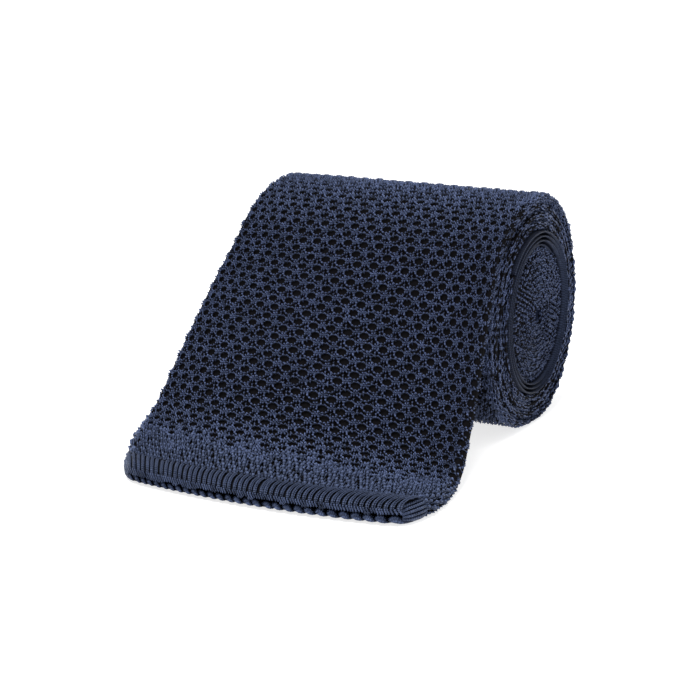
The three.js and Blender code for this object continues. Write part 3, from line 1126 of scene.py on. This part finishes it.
def lip_bumps():
    """The scalloped edge of the back layer: slanting bundles of strands that roll over it."""
    pitch = RIBBED_WIDTH / LIP_BUMPS
    strands = []
    for offset, height in LIP_STRANDS:
        points = [
            (offset - 0.0006, -0.0040, -0.0003),
            (offset - 0.0004, -0.0050, height + 0.0003),
            (offset + 0.0002, -0.0060, height + 0.0001),
            (offset + 0.0006, -0.0066, height - 0.00006),
            (offset + 0.0008, -0.0071, -0.0003),
        ]
        strands.append(strand("lip_strand", points, LIP_RADIUS))
    bumps = join("lip_bumps", strands)
    flat, size = spread_across(bumps, LIP_BUMPS, pitch)
    random = rng_for("lip_bumps")
    flat[:, 0] += np.repeat(random.normal(0, STITCH_JITTER, LIP_BUMPS), size)
    share = flat[:, 0] / RIBBED_WIDTH + 0.5
    flat[:, 0] = (share - LIP_SPREAD * share * (1 - share) - 0.5) * RIBBED_WIDTH
    flat[:, 2] -= LIP_FLATTER * (1 - share)
    mark_rise(bumps, flat[:, 2])
    put_points(bumps, on_hem(LIP, flat[:, 0], -flat[:, 1], flat[:, 2]))
    smooth(bumps)
    return bumps


# The ribs at the hem's corner run back along the fold: (behind the front edge, height above the fold)
CORNER_RUN = [
    (0.0012, -0.0008),
    (0.0019, -0.0003),
    (0.0038, -0.0001),
    (0.0056, -0.0001),
    (0.0072, -0.0006),
]
CORNER_RIBS = 9
CORNER_SPREAD = (0.08, 0.90)  # shares of the way round the fold
CORNER_RADIUS = 0.00027


def corner_ribs(name, side):
    """The fold at the hem's corner, where its ribs run from front to back."""
    ribs = []
    for around in np.linspace(*CORNER_SPREAD, CORNER_RIBS):
        points = []
        for behind, height in CORNER_RUN:
            points.append((side * (HALF_CLOTH + FOLD_ARC * around), behind - FALL_LENGTH, height))
        flat = np.array(points)
        placed = on_tie(flat[:, 0], flat[:, 1], flat[:, 2])
        ribs.append(strand("corner_rib", placed.tolist(), CORNER_RADIUS, 1, 3))
    piece = join(name, ribs)
    mark_rise(piece, np.full(len(piece.data.vertices), RISEN))
    smooth(piece)
    return piece


# The scene

make_camera()
make_table()
make_light()

PLY_TWIST = ply_twist_group()
KNIT_ROWS = knit_rows_group()
KNIT_HOLES = knit_holes_group()

OPENWORK_YARN = yarn_material("openwork_yarn", NAVY_DARK, NAVY_BRIGHT, turns=1.0, twist_depth=0.0001)
HEM_YARN = yarn_material("hem_yarn", NAVY_DARK, NAVY_SOFT, turns=1.2, twist_depth=0.00014)
STITCH_YARN = yarn_material("stitch_yarn", NAVY_DARK, NAVY_LIGHT, turns=0.9, twist_depth=0.0001)
NECK_YARN = neck_material("neck_yarn", NECK_DARK, NECK_LIGHT)
HEM_GROUND = plain_ground_material("hem_ground", HEM_SHADE_BLACK, SHADE_NEARLY_BLACK)

blade_from = -BLADE_END
blade_to = along_at_turn(NECK_START)
neck_from = blade_to + KNIT_GAP
neck_to = along_at_turn(TAIL_START)
tail_from = neck_to + KNIT_GAP
tail_to = PATH_END
BLADE_GROUND = ground_material("blade_ground", blade_to - blade_from, SHADE_NEARLY_BLACK, NAVY_UNDER)
TAIL_GROUND = ground_material("tail_ground", tail_to - tail_from, SHADE_NEARLY_BLACK, NAVY_UNDER)

blade_ground = ground_cloth("blade_ground", blade_from - HEM_OVERLAP, blade_to, BASE_SINK)
neck = ground_cloth("neck_cloth", neck_from, neck_to, UNDER_SINK, columns=48)
tail = ground_cloth("tail_ground", tail_from, tail_to, UNDER_SINK, columns=48)
blade_ground.data.materials.append(BLADE_GROUND)
neck.data.materials.append(NECK_YARN)
tail.data.materials.append(TAIL_GROUND)

fall_openwork = openwork("fall_openwork", FULL_CELL, (-BLADE_END, 0.0), loose_knit)
toe_along = (-BLADE_END - HEM_GAP, TIGHT_KNIT - BLADE_END)
tight_stitches = knit_field(
    "tight_stitches", TIGHT_CELL, TIGHT_SPACING, (-HALF_CLOTH, HALF_CLOTH), toe_along, tight_knit,
    TIGHT_JITTER, MIDDLE_STRETCH, drift=TIGHT_DRIFT)
toe_folds = knit_field(
    "toe_folds", TIGHT_CELL, TOE_FOLD_SPACING, (-FOLD_END, FOLD_END), toe_along, folds_only,
    TOE_FOLD_JITTER, drift=TIGHT_DRIFT, narrow=TOE_FOLD_NARROW)
roll_along = (FALL_GAP, along_at_turn(ROLL_OPENWORK_TO))
back_along = (along_at_turn(ROLL_OPENWORK_TO + NEXT_TURN), along_at_turn(BACK_OPENWORK_TO))
under_along = (along_at_turn(BACK_OPENWORK_TO + NEXT_TURN), along_at_turn(OPENWORK_TO))
roll_openwork = openwork("roll_openwork", FULL_CELL, roll_along)
back_openwork = openwork("back_openwork", PLAIN_CELL, back_along)
under_openwork = openwork("under_openwork", PLAIN_CELL, under_along)
turns_along = (along_at_turn(1.0), blade_to)
outer_along = (along_at_turn(0.1), blade_to)
tail_along = (tail_from, tail_to)
right_turns = fold_stitches("right_turns", EDGE_CELL, EDGE_SPACING, 1, outer_along, reach=0.0016)
left_turns = fold_stitches("left_turns", EDGE_CELL, EDGE_SPACING, -1, turns_along, reach=0.0010)
right_core = fold_stitches("right_core", CORE_CELL, CORE_SPACING, 1, tail_along, reach=0.0012)
left_core = fold_stitches("left_core", CORE_CELL, CORE_SPACING, -1, tail_along, reach=0.0006)

welt_ground = hem_bar("welt_ground", WELT, WELT_SINK, WELT_PULLED_IN)
lip_ground = hem_bar("lip_ground", LIP, LIP_SINK, LIP_PULLED_IN)
ribs = hem_ribs()
stitches = welt_stitches()
bumps = lip_bumps()
corners = [corner_ribs("right_corner", 1), corner_ribs("left_corner", -1)]

# Materials, groups of pieces, their body, and the imported parts that are hidden

knit_pieces = [fall_openwork, roll_openwork, back_openwork, under_openwork]
stitch_pieces = [tight_stitches, toe_folds]
turn_pieces = [right_turns, left_turns]
core_pieces = [right_core, left_core]
hem_pieces = [ribs, stitches, bumps] + corners
for piece in knit_pieces + turn_pieces + core_pieces:
    piece.data.materials.append(OPENWORK_YARN)
for piece in stitch_pieces + [stitches, bumps]:
    piece.data.materials.append(STITCH_YARN)
for piece in [ribs] + corners:
    piece.data.materials.append(HEM_YARN)
for piece in [welt_ground, lip_ground]:
    piece.data.materials.append(HEM_GROUND)

grounds = [blade_ground, neck, tail, welt_ground, lip_ground]
for piece in grounds + knit_pieces + stitch_pieces + turn_pieces + core_pieces + hem_pieces:
    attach(piece, "root")
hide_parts("front_blade")
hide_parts("neck_band")
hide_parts("tail_blade")
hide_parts("hem_welt")
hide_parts("hem_lip")
